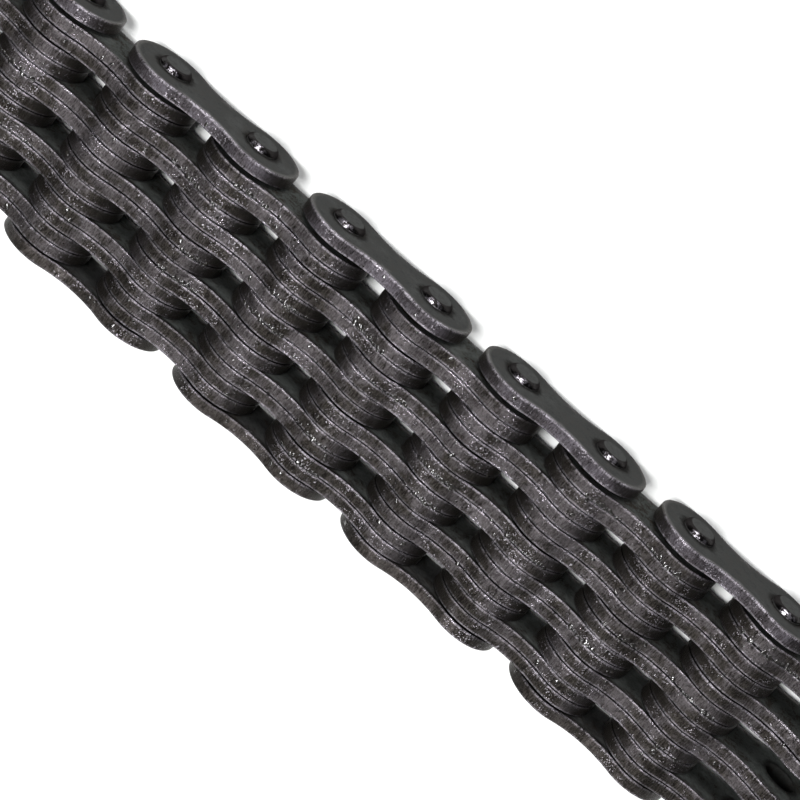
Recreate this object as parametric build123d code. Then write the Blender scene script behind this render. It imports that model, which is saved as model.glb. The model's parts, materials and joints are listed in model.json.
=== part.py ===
# A leaf chain of one inch pitch, laced eight plates against eight.
#
# It is a bare chain for lifting and counterweights: stacks of flat figure-eight plates, hung
# on long pins that are riveted over at both ends. Outer links carry the pins. Inner links
# run on them, and end the chain at both ends with an open eye for a clevis pin.
#
# The chain lies straight along X, on the edges of its plates, with its pins along Y and the
# near side towards minus Y. The origin is on the ground below the middle of the chain.
# Lengths are in millimetres.
import os

from build123d import *

# Driving dimensions of the chain
pitch = 25.4
outer_link_count = 5
plate_thickness = 3.2
pin_diameter = 7.94

# The plates: round ends around the holes, drawn in to a waist between them
end_to_end_gap = 4.9
waist_depth = 2.8

# The lacing: inner plates lie in pairs, and each outer link has a pair between those
inner_pair_count = 4
plates_in_pair = 2

# The riveted pin ends: a short land on the outer plate, then a cone to a flat end
head_height = 1.5
head_land = 0.4
head_spread = 0.08
head_taper = 1.0

# Fits: the outer plates are pressed onto the pins, the middle plates of an outer link slip
# over them, and the plates of an inner link turn on them
press_clearance = 0.0
slip_clearance = 0.03
running_clearance = 0.05
plate_clearance = 0.05

# Free play of the plates between the outer ones, half of it on each side
side_play = 1.2

# What follows from those sizes
link_count = 2 * outer_link_count + 1
plate_height = pitch - end_to_end_gap
end_radius = plate_height / 2
waist_half = end_radius - waist_depth
pin_radius = pin_diameter / 2
head_radius = pin_radius + head_spread
middle_pair_count = inner_pair_count - 1
lane_step = plate_thickness + plate_clearance
inner_lane_count = plates_in_pair * (inner_pair_count + middle_pair_count)
inner_stack_width = inner_lane_count * lane_step - plate_clearance
outer_plate_offset = (inner_stack_width + side_play + plate_thickness) / 2
stack_width = 2 * outer_plate_offset + plate_thickness


def plate_outline():
    """A plate's face, on the ground plane: two round ends that flow into a hollow waist."""
    half_pitch = pitch / 2
    waist_radius = (half_pitch**2 + waist_half**2 - end_radius**2) / (2 * waist_depth)
    centres_apart = end_radius + waist_radius
    blend_x = half_pitch * waist_radius / centres_apart
    blend_y = (waist_half + waist_radius) * end_radius / centres_apart
    tip = half_pitch + end_radius
    edges = [
        ThreePointArc((blend_x, blend_y), (tip, 0), (blend_x, -blend_y)),
        ThreePointArc((blend_x, -blend_y), (0, -waist_half), (-blend_x, -blend_y)),
        ThreePointArc((-blend_x, -blend_y), (-tip, 0), (-blend_x, blend_y)),
        ThreePointArc((-blend_x, blend_y), (0, waist_half), (blend_x, blend_y)),
    ]
    return make_face(edges)


def make_plate(clearance):
    """One plate, standing on its edge, with a hole for a pin at each end."""
    holes = GridLocations(pitch, 0, 2, 1) * Circle(pin_radius + clearance)
    profile = Plane.XZ * (plate_outline() - holes)
    return extrude(profile, amount=plate_thickness / 2, both=True)


def make_pin():
    """A plain round pin along Y, through the whole stack, with both ends riveted over."""
    face = stack_width / 2
    end = face + head_height
    half_outline = [
        (pin_radius, face),
        (head_radius, face),
        (head_radius, face + head_land),
        (head_radius - head_taper, end),
        (0, end),
    ]
    other_half = [(x, -y) for x, y in reversed(half_outline)]
    profile = make_face(Polyline(*half_outline, *other_half, close=True))
    return revolve(profile, Axis.Y)


def link_middle(number):
    """How far along X the middle of a link lies. Links count from one at the minus X end."""
    return (number - (link_count + 1) / 2) * pitch


def lane_place(lane):
    """How far along Y a lane of the plates inside the outer ones lies, from the near side."""
    return (lane + 0.5) * lane_step - inner_lane_count * lane_step / 2


def pair_of(plate, number, first_lane):
    """Plates side by side in one link, as separate solids."""
    copies = []
    for lane in range(first_lane, first_lane + plates_in_pair):
        copies.append(Pos(link_middle(number), lane_place(lane), end_radius) * plate)
    return Compound(children=copies)


def inner_link(number):
    """The plate pairs of one inner link, by name."""
    plate = make_plate(running_clearance)
    pieces = {}
    for pair in range(inner_pair_count):
        first_lane = 2 * pair * plates_in_pair
        pieces[f"link_{number:02}_inner_plates_{pair + 1}"] = pair_of(plate, number, first_lane)
    return pieces


def outer_link(number):
    """The two outer plates, the middle plate pairs and the two pins of one outer link."""
    plate = make_plate(press_clearance)
    middle_plate = make_plate(slip_clearance)
    pin = make_pin()
    middle = link_middle(number)
    pieces = {}
    for side, name in ((-1, "near"), (1, "far")):
        place = Pos(middle, side * outer_plate_offset, end_radius)
        pieces[f"link_{number:02}_outer_plate_{name}"] = place * plate
    for pair in range(middle_pair_count):
        first_lane = (2 * pair + 1) * plates_in_pair
        name = f"link_{number:02}_middle_plates_{pair + 1}"
        pieces[name] = pair_of(middle_plate, number, first_lane)
    for side, name in ((-1, "left"), (1, "right")):
        place = Pos(middle + side * pitch / 2, 0, end_radius)
        pieces[f"link_{number:02}_pin_{name}"] = place * pin
    return pieces


def make_chain():
    """All links in a row, with an inner link at each end."""
    pieces = {}
    for number in range(1, link_count + 1):
        is_outer = number % 2 == 0
        pieces.update(outer_link(number) if is_outer else inner_link(number))
    return pieces


os.makedirs("parts", exist_ok=True)
for node, shape in make_chain().items():
    export_step(shape, f"parts/{node}.step")
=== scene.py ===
import json
import math
import random

import bmesh
import bpy
import numpy as np
from mathutils import Matrix, Vector, noise


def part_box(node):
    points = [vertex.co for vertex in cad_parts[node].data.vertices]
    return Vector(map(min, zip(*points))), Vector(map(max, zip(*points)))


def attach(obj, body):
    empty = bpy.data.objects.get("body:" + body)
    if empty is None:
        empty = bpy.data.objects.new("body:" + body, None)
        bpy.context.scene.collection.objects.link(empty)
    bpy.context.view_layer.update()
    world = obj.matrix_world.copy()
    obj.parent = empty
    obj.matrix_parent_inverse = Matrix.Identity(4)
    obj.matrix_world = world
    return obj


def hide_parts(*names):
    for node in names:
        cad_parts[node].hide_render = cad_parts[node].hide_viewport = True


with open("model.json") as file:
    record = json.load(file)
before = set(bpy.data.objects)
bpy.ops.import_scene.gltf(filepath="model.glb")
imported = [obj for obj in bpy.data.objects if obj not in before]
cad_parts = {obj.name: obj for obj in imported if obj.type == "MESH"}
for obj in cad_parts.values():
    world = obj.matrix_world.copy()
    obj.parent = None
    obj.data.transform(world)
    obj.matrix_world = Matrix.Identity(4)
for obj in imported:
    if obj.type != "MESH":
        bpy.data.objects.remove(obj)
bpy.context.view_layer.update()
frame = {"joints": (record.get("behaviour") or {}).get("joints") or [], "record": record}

chance = random.Random(8)

MM = 0.001

# Tones of the steel and of the oil on it, as shares of light given back
oil_tone = (0.006, 0.005, 0.0045)
bare_tone = (0.6, 0.56, 0.62)
near_face_tone = (0.0535, 0.0545, 0.0535)
inner_face_tone = (0.083, 0.089, 0.085)
near_rim_tone = (0.117, 0.106, 0.121)
inner_rim_tone = (0.094, 0.085, 0.088)
grime_tone = (0.058, 0.052, 0.046)
rust_tone = (0.034, 0.022, 0.015)
# The pin ends' flanks: dark oil, with painted shade where they slope away from the light
flank_oil_and_shade_tone = (0.015, 0.0135, 0.0135)
# The far outer plates' rims, painted darker and browner than the near ones as shade
far_rim_shade_tone = (0.094, 0.083, 0.079)

# How much darker the rims get towards the far side, per metre: painted shade
far_side_shade = 0.9

# The camera looks down on the plates' edges from above the near side
camera_place = Vector((-29.92, -170.5, 438.02)) * MM
camera_back = Vector((-0.0195, -0.36345, 0.93141))
camera_up = Vector((0.66297, -0.70202, -0.26006))
camera_lens = 93.15
camera_sensor = 36.0

# What the frame says about the chain
joint_places = sorted(joint["pos_m"][0] for joint in frame["joints"])
pitch = joint_places[1] - joint_places[0]
outer_low, outer_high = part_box("link_06_outer_plate_near")
plate_height = outer_high.z - outer_low.z
plate_thickness = outer_high.y - outer_low.y
end_radius = plate_height / 2
pin_low, pin_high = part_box("link_06_pin_left")
head_radius = (pin_high.x - pin_low.x) / 2
head_height = outer_low.y - pin_low.y
stack_half = -outer_low.y
bore_radius = frame["record"]["mounts"][0]["dims"]["r_mm"] * MM

# Sizes that the frame doesn't tell
waist_depth = 2.8 * MM
bore_clearance = 0.05 * MM
pin_radius = bore_radius - bore_clearance
plate_gap = 0.05 * MM
head_land = 0.4 * MM
head_taper = 1.0 * MM

# A stamped plate: the rolled edge of one face, the sharper edge of the other, and how finely it is made
roll_inset = 0.36 * MM
roll_depth = 0.3 * MM
burr_inset = 0.28 * MM
burr_depth = 0.24 * MM
face_relief = 0.05 * MM
tear_inset = 0.05 * MM
tear_start = 0.35
bore_chamfer = 0.2 * MM
roll_steps = 4
rim_steps = 7
lobe_steps = 44
waist_steps = 12
bridge_steps = 8
face_steps = 3

# Rims are painted lighter where they face up or down more than this, as a share of straight up, and darker as
# they turn to the side: painted light and shade
painted_light_from = 0.3
painted_light_full = 0.95

# How far a plate strays from the perfect one
height_stray = 0.09 * MM
place_stray = 0.04 * MM
seam_stray = 0.04 * MM
pair_stray = 0.1 * MM
stack_slide = 0.32 * MM
rim_waver = 0.03 * MM
rim_nick = 0.025 * MM

# How fine the waver and the nicks are, per millimetre, and the noise's steps from one plate to the next
waver_scale = 0.22
nick_scale = (1.3, 0.6, 1.3)
plate_noise_step = (3.7, 1.9)

# Points nearer than this are one, and a face squarer to the pins than this is shaded flat
weld_distance = 0.0005 * MM
flat_limit = 0.9999

# Riveted pin ends: how finely they are made, how far the flank bends over and how uneven it is
pin_around = 72
head_profile_steps = 6
head_bend = math.radians(65)
head_rough = 0.07 * MM
head_noise_scales = (0.8, 2.1)
pin_noise_step = (5.1, 2.3)

# Along a pin: how far inside the stack its last plain ring and the root of its head lie
plain_ring_inset = 2 * MM
head_root_inset = 0.05 * MM
land_share = 0.6

# The flat of a pin end: its rim, and the dish in it as shares of its radius and depths there
flat_rim = 0.25 * MM
flat_dish = ((0.75, 0.04 * MM), (0.5, 0.1 * MM), (0.25, 0.12 * MM))
flank_margin = 0.1 * MM

# Drops of oil: scattered ones on each plate's rim, and strings of them along some seams of each link
drops_on_top = 5
drops_below = 2
strings_in_link = 3
drops_in_string = 40
string_spread = 0.5 * MM
drop_sizes = (0.12 * MM, 0.55 * MM)
small_drop_bias = 2.5
drop_widths = (0.6, 1.3)
drop_lengths = (0.8, 1.8)
drop_flatness = 0.26
drop_sink = 0.25
drop_lumps = 0.4
drop_lump_scale = 3

# Where drops lie along a plate's half, as shares of the way from its top to its foot
drop_reach = 0.42
string_start_reach = 0.2
string_length = 0.2

# Sizes of the blots in the finishes, in millimetres
mottle_size = 2.4
grain_size = 0.36
streak_size = 0.28
soil_size = 8
speck_size = 0.32
patch_size = 4.5
pin_mottle_size = 0.9
pin_grain_size = 0.25
pin_glint_size = 0.8
oil_dirt_size = 0.9

# How much the blots differ from plate to plate and from pin to pin
plate_seed_step = 7.3
pin_seed_step = 5.1

# Depth of the finishes' relief
steel_relief = 0.1 * MM
pin_relief = 0.2 * MM
oil_relief = 0.1 * MM

# Oil creeps out from under the pin ends this far, with a wavering border
halo_near = 0.2 * MM
halo_far = 1.8 * MM
halo_waver = 3 * MM

# The studio: a pale floor, a faint even light, and lamps that all aim at the middle of the chain,
# each with its place, its diameter and its power
floor_tone = (0.93, 0.94, 0.93)
floor_reach = 1.5
floor_cells = 12
world_tone = (0.95, 0.97, 1.0)
world_strength = 0.13
studio_lights = {
    "softbox": ((0.13, -0.12, 0.88), 0.34, 8.4),
    "front_panel": ((0.1, -0.75, 0.5), 0.5, 4.5),
    "back_fill": ((-0.3, 0.75, 0.4), 0.5, 2.5),
    "back_panel": ((0.02, 0.3, 0.8), 0.14, 2.4),
}


def half_outline():
    """Points and outward normals along a plate's right half, from the top of the waist round to its foot."""
    half_pitch = pitch / 2
    waist_half = end_radius - waist_depth
    waist_radius = (half_pitch**2 + waist_half**2 - end_radius**2) / (2 * waist_depth)
    waist_centre = waist_half + waist_radius
    blend = math.atan2(half_pitch, waist_centre)
    waist = []
    for step in range(waist_steps):
        turn = blend * step / waist_steps
        normal = Vector((-math.sin(turn), math.cos(turn)))
        waist.append((Vector((0, waist_centre)) - normal * waist_radius, normal))
    start = math.pi - math.atan2(waist_centre, half_pitch)
    lobe = []
    for step in range(lobe_steps + 1):
        turn = start * (1 - 2 * step / lobe_steps)
        normal = Vector((math.cos(turn), math.sin(turn)))
        lobe.append((Vector((half_pitch, 0)) + normal * end_radius, normal))
    foot = [(Vector((p.x, -p.y)), Vector((n.x, -n.y))) for p, n in reversed(waist)]
    return waist + lobe + foot


def edge_section():
    """The steps from one face over the rim to the other, as pairs of inset and place across the thickness."""
    half = plate_thickness / 2 - face_relief
    section = []
    for step in range(roll_steps + 1):
        turn = math.pi / 2 * step / roll_steps
        section.append((roll_inset * (1 - math.sin(turn)), -half + roll_depth * (1 - math.cos(turn))))
    low, high = section[-1][1], half - burr_depth
    for step in range(1, rim_steps + 1):
        share = step / rim_steps
        torn = max(0, share - tear_start) / (1 - tear_start)
        section.append((tear_inset * torn * (2 - torn), low + (high - low) * share))
    for step in range(1, roll_steps + 1):
        turn = math.pi / 2 * step / roll_steps
        inset = tear_inset + burr_inset * (1 - math.cos(turn))
        section.append((inset, high + burr_depth * math.sin(turn)))
    return section


class PlateShape:
    """One stamped plate around its own middle, as arrays that each copy bends a little."""

    def __init__(self):
        half = half_outline()
        left = [(Vector((-p.x, p.y)), Vector((-n.x, n.y))) for p, n in reversed(half[1:-1])]
        loop = half + left
        form = bmesh.new()
        self.normal_layers = [form.verts.layers.float.new(name) for name in ("normal_x", "normal_z")]
        self.value_layers = {name: form.verts.layers.float.new(name) for name in ("rim", "edge", "seam_oil_and_shade")}
        section = edge_section()
        rows = [self.row_of(form, loop, inset, y, step) for step, (inset, y) in enumerate(section)]
        for first, second in zip(rows, rows[1:]):
            self.join(form, first, second)
        for inset, y in (section[0], section[-1]):
            for side in (-1, 1):
                self.add_face(form, half, inset, y, side)
        for side in (-1, 1):
            self.add_bore(form, half, section, side)
        bmesh.ops.remove_doubles(form, verts=form.verts, dist=weld_distance)
        bmesh.ops.recalc_face_normals(form, faces=form.faces)
        form.verts.index_update()
        self.points = np.array([v.co for v in form.verts])
        self.normals = np.array([[v[layer] for layer in self.normal_layers] for v in form.verts])
        self.values = {
            name: np.array([v[layer] for v in form.verts]) for name, layer in self.value_layers.items()
        }
        # How far each point of the rim faces up or down: the mask of the painted light and shade on the rims
        self.values["painted_up_light"] = np.clip((np.abs(self.normals[:, 1]) - painted_light_from) / (painted_light_full - painted_light_from), 0, 1)
        self.faces = [[v.index for v in face.verts] for face in form.faces]
        self.smooth = [abs(face.normal.y) < flat_limit for face in form.faces]
        form.free()

    def row_of(self, form, loop, inset, y, step):
        """A ring of points along the edge."""
        row = []
        last = 2 * roll_steps + rim_steps
        rolled = 1 <= step <= roll_steps or step >= roll_steps + rim_steps
        for point, normal in loop:
            place = point - normal * inset
            vertex = form.verts.new((place.x, y, place.y))
            vertex[self.normal_layers[0]] = normal.x
            vertex[self.normal_layers[1]] = normal.y
            vertex[self.value_layers["rim"]] = 1
            vertex[self.value_layers["edge"]] = 1 if rolled else 0
            # The rows nearest each face are marked for the seams' darkening, partly oil and partly painted
            # shade
            vertex[self.value_layers["seam_oil_and_shade"]] = 1 if min(step, last - step) <= 1 else 0
            row.append(vertex)
        return row

    def join(self, form, first, second):
        """Faces between two closed rings of points."""
        count = len(first)
        for index in range(count):
            after = (index + 1) % count
            form.faces.new((first[index], first[after], second[after], second[index]))

    def face_border(self, half, inset, side):
        """The border of half a face: along the edge, then back up the middle of the plate."""
        border = [(Vector((side * (p - n * inset).x, (p - n * inset).y)), n) for p, n in half]
        top, foot = border[0][0], border[-1][0]
        for step in range(1, bridge_steps):
            border.append((foot.lerp(top, step / bridge_steps), None))
        return border

    def bore_point(self, place, side, radius):
        """The point round a bore that lies towards a place."""
        centre = Vector((side * pitch / 2, 0))
        return centre + (place - centre).normalized() * radius

    def add_face(self, form, half, inset, y, side):
        """Half of a flat face, from the edge in to the chamfer of its bore."""
        border = self.face_border(half, inset, side)
        rows = []
        for step in range(face_steps + 1):
            share = (step / face_steps) ** 1.5
            row = []
            for place, normal in border:
                bore = self.bore_point(place, side, bore_radius + bore_chamfer)
                spot = place.lerp(bore, share)
                vertex = form.verts.new((spot.x, y, spot.y))
                if normal and step == 0:
                    vertex[self.normal_layers[0]] = side * normal.x
                    vertex[self.normal_layers[1]] = normal.y
                    vertex[self.value_layers["rim"]] = 1
                    # The face's border takes part in the seams' darkening, partly oil and partly painted
                    # shade
                    vertex[self.value_layers["seam_oil_and_shade"]] = 1
                row.append(vertex)
            rows.append(row)
        for first, second in zip(rows, rows[1:]):
            self.join(form, first, second)

    def add_bore(self, form, half, section, side):
        """The wall of a bore, with a chamfer at each end."""
        near, far = section[0], section[-1]
        rows = []
        for inset, y, radius in (
            (near[0], near[1], bore_radius + bore_chamfer),
            (near[0], near[1] + bore_chamfer, bore_radius),
            (far[0], far[1] - bore_chamfer, bore_radius),
            (far[0], far[1], bore_radius + bore_chamfer),
        ):
            border = self.face_border(half, inset, side)
            spots = [self.bore_point(place, side, radius) for place, _ in border]
            rows.append([form.verts.new((spot.x, y, spot.y)) for spot in spots])
        for first, second in zip(rows, rows[1:]):
            self.join(form, first, second)


def strayed(shape, number):
    """A copy of the plate's points, each plate a little off in its own way."""
    offset = Vector((number * plate_noise_step[0], number * plate_noise_step[1], 0))
    inset = chance.uniform(0, height_stray)
    points = shape.points.copy()
    flip = chance.choice((-1, 1))
    ends = chance.choice((-1, 1))
    points[:, 1] *= flip
    points[:, 0] *= ends
    for index, (x, y, z) in enumerate(shape.points):
        spot = Vector((x, y, z)) / MM
        if shape.values["rim"][index]:
            waver = noise.noise(spot * waver_scale + offset) * rim_waver
            fine_spot = Vector([part * scale for part, scale in zip(spot, nick_scale)])
            nick = noise.noise(fine_spot + offset) * rim_nick
            move = waver + nick - inset
            points[index, 0] += shape.normals[index, 0] * move * ends
            points[index, 2] += shape.normals[index, 1] * move
    return points, flip * ends < 0


def steel_piece(name, points, faces, smooth, values):
    """A mesh object with some faces shaded smooth and some values kept at its points."""
    mesh = bpy.data.meshes.new(name)
    mesh.from_pydata(points, [], faces)
    mesh.polygons.foreach_set("use_smooth", smooth)
    for value_name, numbers in values.items():
        kept = mesh.attributes.new(value_name, "FLOAT", "POINT")
        kept.data.foreach_set("value", np.asarray(numbers, dtype=np.float32))
    piece = bpy.data.objects.new(name, mesh)
    bpy.context.scene.collection.objects.link(piece)
    return piece


def stamp_plates(node, shape, number):
    """The plates of one node, side by side, in place of its solids."""
    low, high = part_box(node)
    count = max(1, round((high.y - low.y) / (plate_thickness + plate_gap)))
    middle = (low.x + high.x) / 2
    pair_shift = 0 if count == 1 else stack_slide + chance.uniform(-pair_stray, pair_stray)
    points, faces = [], []
    values = {name: [] for name in (*shape.values, "plate_number")}
    for plate in range(count):
        copy, mirrored = strayed(shape, number + plate)
        copy[:, 0] += middle + chance.uniform(-place_stray, place_stray)
        copy[:, 1] += low.y + plate_thickness / 2 + plate * (plate_thickness + plate_gap)
        copy[:, 1] += pair_shift + chance.uniform(-seam_stray, seam_stray)
        copy[:, 2] += end_radius
        start = sum(len(part) for part in points)
        step = -1 if mirrored else 1
        faces.extend([start + index for index in face[::step]] for face in shape.faces)
        points.append(copy)
        for name, kept in shape.values.items():
            values[name].append(kept)
        values["plate_number"].append(np.full(len(copy), number + plate))
    values = {name: np.concatenate(parts) for name, parts in values.items()}
    return steel_piece(f"{node}_stamped", np.concatenate(points), faces, shape.smooth * count, values)


def pin_profile():
    """Radius and place along the pin of one riveted end, from the bar out to the middle of the flat."""
    top = stack_half + head_height
    top_radius = head_radius - head_taper
    profile = [(pin_radius, stack_half - plain_ring_inset), (pin_radius, stack_half - head_root_inset)]
    profile += [(head_radius, stack_half), (head_radius, stack_half + head_land * land_share)]
    shoulder = stack_half + head_land
    for step in range(head_profile_steps + 1):
        turn = head_bend * step / head_profile_steps
        radius = head_radius - head_taper * (1 - math.cos(turn)) / (1 - math.cos(head_bend))
        profile.append((radius, shoulder + (top - shoulder) * math.sin(turn) / math.sin(head_bend)))
    profile.append((top_radius - flat_rim, top))
    profile += [(top_radius * share, top - depth) for share, depth in flat_dish]
    return profile


def rivet_pin(node, number):
    """A pin with both ends riveted over, in place of its solid."""
    low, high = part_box(node)
    centre = (low + high) / 2
    profile = pin_profile()
    top_radius = head_radius - head_taper
    rows = [(radius, -place) for radius, place in reversed(profile)] + profile
    points, faces, ends = [], [], []
    offset = Vector((number * pin_noise_step[0], number * pin_noise_step[1], 0))
    coarse, fine = head_noise_scales
    for radius, place in rows:
        past = max(0, abs(place) - stack_half) / head_height
        for step in range(pin_around):
            turn = 2 * math.pi * step / pin_around
            spot = Vector((math.cos(turn) * radius, place, math.sin(turn) * radius)) / MM
            rough = noise.noise(spot * coarse + offset) + 0.5 * noise.noise(spot * fine + offset)
            own = radius - head_rough * min(1, past * 3) * (0.5 + 0.5 * rough) * min(1, radius / MM)
            points.append((centre.x + math.cos(turn) * own, place, centre.z + math.sin(turn) * own))
            ends.append(1 if past > 0 and radius > top_radius + flank_margin else 0)
    count = len(rows)
    for row in range(count - 1):
        for step in range(pin_around):
            after = (step + 1) % pin_around
            faces.append((row * pin_around + step, row * pin_around + after,
                          (row + 1) * pin_around + after, (row + 1) * pin_around + step))
    for row, turn in ((0, -1), (count - 1, 1)):
        tip = len(points)
        points.append((centre.x, rows[row][1], centre.z))
        ends.append(0)
        for step in range(pin_around):
            corner = (row * pin_around + step, row * pin_around + (step + 1) % pin_around)
            faces.append((corner[0], corner[1], tip)[::turn])
    values = {"flank": np.array(ends), "plate_number": np.full(len(points), number)}
    return steel_piece(f"{node}_riveted", points, faces, [True] * len(faces), values)


class Finish:
    """A material in the making. node() adds any node and gives the signal at one of its outputs."""

    def __init__(self, name):
        self.material = bpy.data.materials.new(name)
        self.material.use_nodes = True
        self.tree = self.material.node_tree
        self.tree.nodes.clear()

    def node(self, kind, settings=None, sockets=None, output=0):
        """A node of a kind, with its settings made first and then its sockets filled or linked."""
        made = self.tree.nodes.new("ShaderNode" + kind)
        for name, value in (settings or {}).items():
            setattr(made, name, value)
        for name, value in (sockets or {}).items():
            if isinstance(value, Signal):
                self.tree.links.new(value.socket, made.inputs[name])
            else:
                made.inputs[name].default_value = value
        return Signal(self, made.outputs[output]) if len(made.outputs) else None

    def surface(self, shader):
        """The finished material, with this shader as its surface."""
        self.node("OutputMaterial", None, {"Surface": shader})
        return self.material


class Signal:
    """A value that varies over a surface. Arithmetic on it adds the nodes that work it out."""

    def __init__(self, finish, socket):
        self.finish = finish
        self.socket = socket

    def math(self, operation, *values):
        """The outcome of a sum on values and signals."""
        return self.finish.node("Math", {"operation": operation}, dict(enumerate(values)))

    def __add__(self, other):
        return self.math("ADD", self, other)

    def __radd__(self, other):
        return self.math("ADD", other, self)

    def __sub__(self, other):
        return self.math("SUBTRACT", self, other)

    def __rsub__(self, other):
        return self.math("SUBTRACT", other, self)

    def __mul__(self, other):
        return self.math("MULTIPLY", self, other)

    def __rmul__(self, other):
        return self.math("MULTIPLY", other, self)

    def between(self, low, high):
        """This value, taken from low to high onto nought to one, with soft ends."""
        settings = {"interpolation_type": "SMOOTHSTEP"}
        return self.finish.node("MapRange", settings, {"Value": self, "From Min": low, "From Max": high})


def cloud(finish, place, seed, size, detail, roughness=0.6):
    """A noise whose blots are about one size, in millimetres, and differ from plate to plate."""
    sockets = {"Vector": place, "W": seed, "Scale": 1 / (size * MM), "Detail": detail, "Roughness": roughness}
    return finish.node("TexNoise", {"noise_dimensions": "4D"}, sockets)


def blend(finish, share, first, second):
    """A colour between two."""
    return finish.node("Mix", {"data_type": "RGBA"}, {0: share, 6: first, 7: second}, 2)


def kept_value(finish, name):
    """A value that the mesh keeps at its points."""
    return finish.node("Attribute", {"attribute_name": name}, None, "Fac")


def tone(colour, strength=1.0):
    """A colour as a shader takes it."""
    return tuple(strength * part for part in colour) + (1,)


def pin_distance(finish, place):
    """How far a spot is from the axis of the nearest pin."""
    across = finish.node("SeparateXYZ", None, {0: place}, "X") * (1 / pitch)
    across = (across.math("FRACT", across) - 0.5) * pitch
    up = finish.node("SeparateXYZ", None, {0: place}, "Z") - end_radius
    square = across * across + up * up
    return square.math("SQRT", square)


def oiled_steel(name, face_tone, rim_tone, dirt, seam_oil_and_shade_strength, contrast, edge_shine):
    """Stamped steel, blackened by oil: matt faces, and sheared rims with painted light and shade, lighter
    where they face up or down and darker on their sides.
    """
    finish = Finish(name)
    place = finish.node("TexCoord", None, None, "Object")
    seed = kept_value(finish, "plate_number") * plate_seed_step
    rim, painted_up_light, edge = kept_value(finish, "rim"), kept_value(finish, "painted_up_light"), kept_value(finish, "edge")
    along_shear = finish.node("VectorMath", {"operation": "MULTIPLY"}, {0: place, 1: (1, 0.16, 1)})

    mottle = cloud(finish, place, seed, mottle_size, 6, 0.72)
    grain = cloud(finish, place, seed, grain_size, 3, 0.75)
    streak = cloud(finish, along_shear, seed, streak_size, 3, 0.7)
    across = finish.node("SeparateXYZ", None, {0: place}, "Y")
    # The dirt noise, darkened towards the far side by painted shade
    soil_and_far_shade = cloud(finish, place, 0.0, soil_size, 4) - across * far_side_shade
    speck = cloud(finish, place, seed + 3, speck_size, 1)
    patch = cloud(finish, place, 11.0, patch_size, 3)

    worn = mottle * 0.4 + streak * 1.0 + grain * 0.85 + (soil_and_far_shade - 0.5) * 0.6
    worn = worn.between(1.14 - 0.3 / contrast, 1.14 + 0.3 / contrast)
    # Painted light and shade: the rim colour is lighter where the rim faces up or down and darker towards its
    # sides
    lit = painted_up_light * (0.3 + painted_up_light * 0.7) + 0.02
    grime = soil_and_far_shade.between(0.56, 0.42) * dirt
    rust = (mottle * 0.6 + patch * 0.4).between(0.42, 0.34) * 0.6 * dirt
    # The bright metal specks and rolled edges lie only where the rim faces up or down, where the lamps'
    # highlights fall
    glint = speck.between(0.6, 0.68) * patch.between(0.5, 0.62) * painted_up_light
    bare = edge * (grain * 0.5 + streak * 0.5).between(0.42, 0.56)
    bare = bare * (0.35 + patch.between(0.4, 0.6) * 0.65) * painted_up_light
    base_rim = blend(finish, grime, tone(rim_tone), tone(grime_tone))
    base_rim = blend(finish, rust, base_rim, tone(rust_tone))
    # Painted shade: where the rim turns to the side, its dark colour goes from brown to the black of oil
    unworn_and_shaded = blend(finish, painted_up_light, tone(grime_tone, 0.7), tone(oil_tone))
    rim_colour = blend(finish, worn * lit, unworn_and_shaded, base_rim)
    rim_colour = blend(finish, bare * 0.8, rim_colour, tone(bare_tone, edge_shine))
    rim_colour = blend(finish, glint, rim_colour, tone(bare_tone))

    reach = pin_distance(finish, place) + (mottle - 0.5) * halo_waver
    halo = reach.between(head_radius + halo_far, head_radius + halo_near)
    crumb = (grain * 0.4 + mottle * 0.6).between(0.47, 0.56) * soil_and_far_shade.between(0.4, 0.54) * dirt
    plain = (mottle * 0.6 + grain * 0.4).between(0.34, 0.6)
    face_colour = blend(finish, plain, tone(face_tone, 0.68 - dirt * 0.25), tone(face_tone))
    face_colour = blend(finish, halo * 0.75, face_colour, tone(oil_tone))
    face_colour = blend(finish, crumb * 0.8, face_colour, tone(rust_tone, 0.5))
    # The seams between plates are darkened to the black of oil, partly oil and partly painted shade
    rim_colour = blend(finish, kept_value(finish, "seam_oil_and_shade") * seam_oil_and_shade_strength, rim_colour, tone(oil_tone))
    colour = blend(finish, rim, face_colour, rim_colour)

    dry = 0.46 - contrast * 0.05 + (mottle - 0.5) * 0.3 - soil_and_far_shade.between(0.46, 0.6) * 0.1
    roughness = rim * dry + (1 - rim) * (0.55 - halo * 0.2 - crumb * 0.2)
    bright = (glint + bare) * 0.9
    relief = streak * 1.1 + grain * 1.9 + mottle * 1.0 + speck.between(0.6, 0.75) * 0.4
    height = relief * rim + (1 - rim) * (grain * 0.08 + crumb * 1.5)
    normal = finish.node("Bump", None, {"Strength": 1.0, "Distance": steel_relief, "Height": height})
    shader = finish.node("BsdfPrincipled", None, {
        "Base Color": colour, "Roughness": roughness - bright * 0.12, "Metallic": rim * (0.8 + bright * 0.2),
        "Specular IOR Level": 0.0, "Normal": normal,
    })
    return finish.surface(shader)


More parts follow.
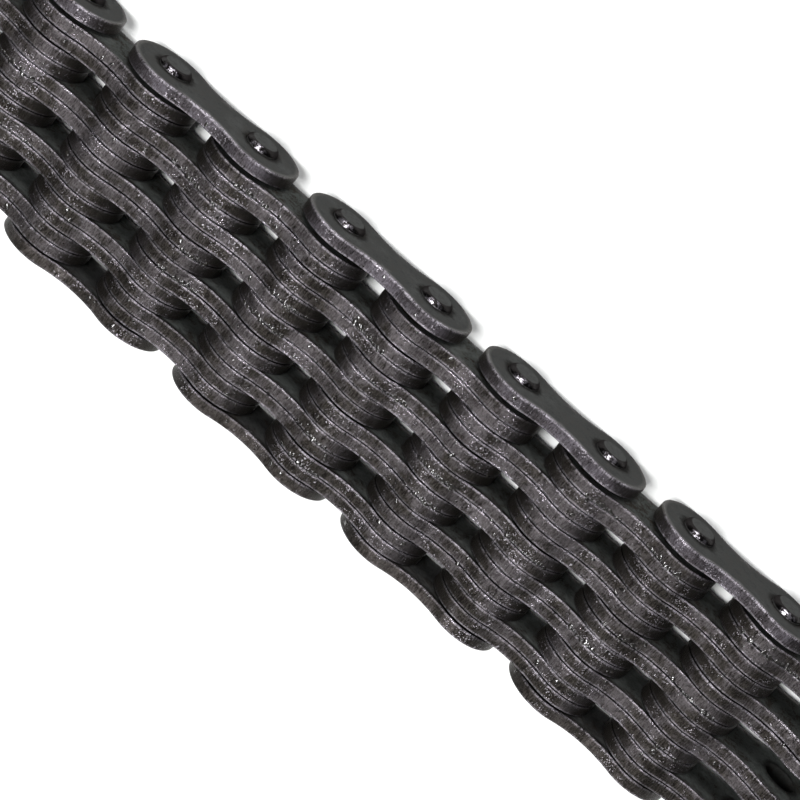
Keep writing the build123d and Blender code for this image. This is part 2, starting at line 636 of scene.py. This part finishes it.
def rivet_steel():
    """The pins: flat ends as matt as the plates, flanks darkened by oil and by painted shade, and a painted
    highlight of bright metal where a flank faces up.
    """
    finish = Finish("pin_steel")
    place = finish.node("TexCoord", None, None, "Object")
    seed = kept_value(finish, "plate_number") * pin_seed_step
    flank = kept_value(finish, "flank")
    mottle = cloud(finish, place, seed, pin_mottle_size, 4)
    grain = cloud(finish, place, seed, pin_grain_size, 2)
    up = (finish.node("SeparateXYZ", None, {0: place}, "Z") - end_radius) * (1 / head_radius)
    wet = up.between(0.3, 0.75) * flank
    # Painted highlight: bright metal only on the upward side of each flank, where the lamp's reflection falls
    glint = cloud(finish, place, seed + 2, pin_glint_size, 2).between(0.44, 0.58)
    glint = glint * up.between(0.78, 0.94) * flank
    dull = (0.6 + (mottle * 0.7 + grain * 0.3).between(0.3, 0.6) * 0.4) * (1 - flank)
    colour = blend(finish, dull, tone(flank_oil_and_shade_tone), tone(near_face_tone))
    colour = blend(finish, glint, colour, tone(bare_tone, 0.6))
    normal = finish.node("Bump", None, {
        "Strength": 1.0, "Distance": pin_relief, "Height": (mottle + grain * 0.3) * (0.06 + flank * 0.44),
    })
    shader = finish.node("BsdfPrincipled", None, {
        "Base Color": colour, "Roughness": 0.5 - flank * (0.3 - mottle * 0.1), "Metallic": wet * 0.95,
        "Specular IOR Level": 0.0, "Normal": normal,
    })
    return finish.surface(shader)


def oil_film():
    """Drops of dark oil and grease, glossy and dirty."""
    finish = Finish("oil")
    place = finish.node("TexCoord", None, None, "Object")
    dirt = cloud(finish, place, 0.0, oil_dirt_size, 3)
    colour = blend(finish, dirt.between(0.4, 0.6), tone(oil_tone), tone(grime_tone, 0.35))
    normal = finish.node("Bump", None, {"Strength": 0.6, "Distance": oil_relief, "Height": dirt})
    shader = finish.node("BsdfPrincipled", None, {
        "Base Color": colour, "Roughness": 0.1, "Specular IOR Level": 1.0, "Normal": normal,
    })
    return finish.surface(shader)


def rim_spot(half, share):
    """A point and its outward normal along a plate's right half, by a share of the way from top to foot."""
    place = share * (len(half) - 1)
    index = min(int(place), len(half) - 2)
    part = place - index
    here, after = half[index], half[index + 1]
    return here[0].lerp(after[0], part), here[1].lerp(after[1], part).normalized()


def drop_shape():
    """Points and faces of a ball, which every drop squeezes in its own way."""
    form = bmesh.new()
    bmesh.ops.create_icosphere(form, subdivisions=2, radius=1)
    points = [vertex.co.copy() for vertex in form.verts]
    faces = [[vertex.index for vertex in face.verts] for face in form.faces]
    form.free()
    return points, faces


def drop_points(ball, half, middle, side, share, across, limits, up):
    """The points of one lumpy drop on a rim, which stays between two limits across the plates."""
    spot, normal = rim_spot(half, share)
    size = drop_sizes[0] + (drop_sizes[1] - drop_sizes[0]) * chance.random() ** small_drop_bias
    room = 2 * size + roll_depth
    across = max(limits[0] + room, min(limits[1] - room, across))
    out = Vector((side * normal.x, 0, up * normal.y))
    centre = Vector((middle + side * spot.x, across, end_radius + up * spot.y))
    centre -= out * (size * drop_flatness * drop_sink + height_stray / 2)
    turn = out.to_track_quat("Z", "Y").to_matrix()
    spin = Matrix.Rotation(chance.uniform(0, math.pi), 3, "Z")
    width, length = chance.uniform(*drop_widths), chance.uniform(*drop_lengths)
    stretch = Matrix.Diagonal((width * size, length * size, drop_flatness * size))
    place = turn @ spin @ stretch
    points = []
    for corner in ball:
        offset = place @ corner
        lump = drop_lumps * noise.noise((centre + offset) / MM * drop_lump_scale)
        points.append(centre + offset * (1 + lump))
    return points


def oil_drops(body, nodes, ball):
    """The drops of oil on one link's plates, as one piece."""
    half = half_outline()
    ball_points, ball_faces = ball
    drops, seams = [], []
    for node in nodes:
        if "pin" in node:
            continue
        low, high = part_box(node)
        count = max(1, round((high.y - low.y) / (plate_thickness + plate_gap)))
        middle = (low.x + high.x) / 2
        if count > 1:
            seams.append((low.y, high.y))
        for drop in range(count * (drops_on_top + drops_below)):
            up = 1 if drop < count * drops_on_top else -1
            side, share = chance.choice((-1, 1)), chance.uniform(0, drop_reach)
            across = chance.uniform(low.y, high.y)
            drops.append(drop_points(ball_points, half, middle, side, share, across, (low.y, high.y), up))
    for _ in range(strings_in_link):
        side, limits = chance.choice((-1, 1)), chance.choice(seams)
        start = chance.uniform(0, string_start_reach)
        for drop in range(drops_in_string):
            across = sum(limits) / 2 + chance.gauss(0, string_spread / 2)
            share = start + chance.uniform(0, string_length)
            drops.append(drop_points(ball_points, half, middle, side, share, across, limits, 1))
    points = [point for drop in drops for point in drop]
    faces = []
    for drop in range(len(drops)):
        start = drop * len(ball_points)
        faces.extend([start + index for index in face] for face in ball_faces)
    return steel_piece(f"{body}_oil_drops", points, faces, [True] * len(faces), {})


def plain_floor():
    """The floor's pale matt paint."""
    finish = Finish("floor")
    shader = finish.node("BsdfPrincipled", None, {
        "Base Color": tone(floor_tone), "Roughness": 0.9, "Specular IOR Level": 0.1,
    })
    return finish.surface(shader)


def set_camera():
    """The camera at the photograph's place."""
    data = bpy.data.cameras.new("camera")
    data.lens = camera_lens
    data.sensor_width = camera_sensor
    data.clip_start = 10 * MM
    camera = bpy.data.objects.new("camera", data)
    right = camera_up.cross(camera_back).normalized()
    back = camera_back.normalized()
    turn = Matrix((right, back.cross(right), back)).transposed().to_4x4()
    camera.matrix_world = Matrix.Translation(camera_place) @ turn
    bpy.context.scene.collection.objects.link(camera)
    bpy.context.scene.camera = camera


def add_light(name, place, size, energy):
    """A round lamp that aims at the middle of the chain."""
    data = bpy.data.lights.new(name, "AREA")
    data.shape = "DISK"
    data.size = size
    data.energy = energy
    light = bpy.data.objects.new(name, data)
    light.location = place
    light.rotation_mode = "QUATERNION"
    light.rotation_quaternion = (Vector((0, 0, 0)) - Vector(place)).to_track_quat("-Z", "Y")
    bpy.context.scene.collection.objects.link(light)


def lay_floor():
    """A flat floor in square cells, which isn't part of the chain."""
    mesh = bpy.data.meshes.new("floor")
    reach, cells = floor_reach, floor_cells
    grid = [(-reach + 2 * reach * i / cells, -reach + 2 * reach * j / cells, 0)
            for j in range(cells + 1) for i in range(cells + 1)]
    row = cells + 1
    faces = [(j * row + i, j * row + i + 1, (j + 1) * row + i + 1, (j + 1) * row + i)
             for j in range(cells) for i in range(cells)]
    mesh.from_pydata(grid, [], faces)
    mesh.materials.append(plain_floor())
    floor = bpy.data.objects.new("floor", mesh)
    bpy.context.scene.collection.objects.link(floor)


def light_world():
    """The faint even light from all round."""
    world = bpy.data.worlds.new("studio")
    world.use_nodes = True
    world.node_tree.nodes["Background"].inputs["Color"].default_value = tone(world_tone)
    world.node_tree.nodes["Background"].inputs["Strength"].default_value = world_strength
    bpy.context.scene.world = world


shape = PlateShape()
ball = drop_shape()
outer_steel = oiled_steel(
    "outer_plate_steel", near_face_tone, near_rim_tone,
    dirt=0.3, seam_oil_and_shade_strength=0.35, contrast=0.8, edge_shine=0.85,
)
# The far outer plates are the near ones' steel painted darker as shade: a darker rim, more dirt, darker seams
# and duller edges
far_shaded_steel = oiled_steel(
    "far_plate_shaded_steel", near_face_tone, far_rim_shade_tone,
    dirt=0.8, seam_oil_and_shade_strength=0.5, contrast=0.95, edge_shine=0.5,
)
link_steel = oiled_steel(
    "link_plate_steel", inner_face_tone, inner_rim_tone,
    dirt=1.0, seam_oil_and_shade_strength=0.85, contrast=1.05, edge_shine=0.65,
)
steels = {"near": outer_steel, "far": far_shaded_steel}
oil = oil_film()
pin_finish = rivet_steel()
number = 0
for body, nodes in frame["record"]["behaviour"]["bodies"].items():
    for node in nodes:
        number += 2
        if "pin" in node:
            piece = rivet_pin(node, number)
            piece.data.materials.append(pin_finish)
        else:
            piece = stamp_plates(node, shape, number)
            piece.data.materials.append(steels.get(node.split("_")[-1], link_steel))
        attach(piece, body)
        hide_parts(node)
    drops = oil_drops(body, nodes, ball)
    drops.data.materials.append(oil)
    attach(drops, body)

set_camera()
lay_floor()
light_world()
for name, (place, size, energy) in studio_lights.items():
    add_light(name, place, size, energy)
bpy.context.scene.view_settings.view_transform = "Standard"
